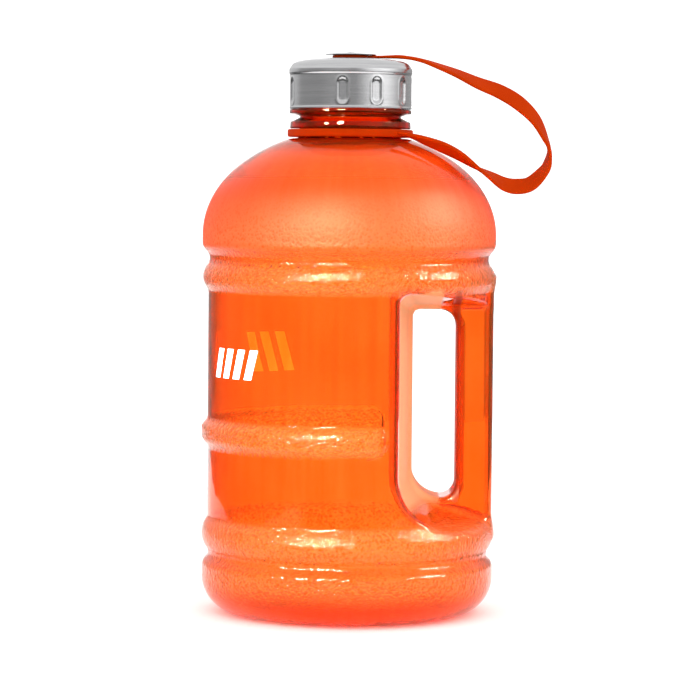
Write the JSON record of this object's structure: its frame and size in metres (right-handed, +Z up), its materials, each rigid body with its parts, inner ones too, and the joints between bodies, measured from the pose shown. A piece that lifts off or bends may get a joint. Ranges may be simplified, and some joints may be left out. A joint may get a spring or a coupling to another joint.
{
  "type": "water jug",
  "caption": "Large translucent drinking water jug with a moulded-in grip handle, ribbed wall, steel-shelled screw cap and a flat carry strap that tethers the cap.",
  "frame": {"origin": "middle of the base on the jug's axis, in the plane of the foot ring that it stands on", "axes": "+Z up along the jug's axis, +X towards the grip and the strap's loop, +Y towards the back"},
  "size_m": [0.1615, 0.1366, 0.2587],
  "materials": {
    "jug_plastic": "glossy, translucent, lightly textured on the ribs",
    "strap_silicone": "matte",
    "brushed_steel": "satin, brushed round the cap",
    "polished_steel": "polished",
    "liner_plastic": "matte",
    "gasket_silicone": "matte"
  },
  "bodies": {
    "jug": {"jug_body": "jug_plastic"},
    "strap": {"neck_strap": "strap_silicone"},
    "strap_end": {"strap_eye": "strap_silicone"},
    "rivet": {"rivet": "polished_steel", "rivet_disc": "polished_steel"},
    "cap": {"cap_shell": "brushed_steel", "cap_liner": "liner_plastic", "cap_gasket": "gasket_silicone", "rivet_washer": "polished_steel"}
  },
  "joints": [
    {"name": "strap_swivel", "type": "hinge", "parent": "jug", "child": "strap", "pos_m": [0, 0, 0.2212], "axis": [0, 0, 1], "continuous": true},
    {"name": "cap_lift", "type": "slide", "parent": "strap", "child": "strap_end", "axis": [0, 0, 1], "range_m": [0, 0.0225]},
    {"name": "eye_swivel", "type": "hinge", "parent": "strap_end", "child": "rivet", "pos_m": [0, 0, 0.2564], "axis": [0, 0, 1], "continuous": true},
    {"name": "cap_turn", "type": "hinge", "parent": "rivet", "child": "cap", "pos_m": [0, 0, 0.25], "axis": [0, 0, 1], "range_deg": [0, 1800]}
  ],
  "couplings": [
    {"joint": "eye_swivel", "follows": "strap_swivel", "ratio": -1},
    {"joint": "cap_turn", "follows": "cap_lift", "rad_per_m": 1396.3}
  ]
}
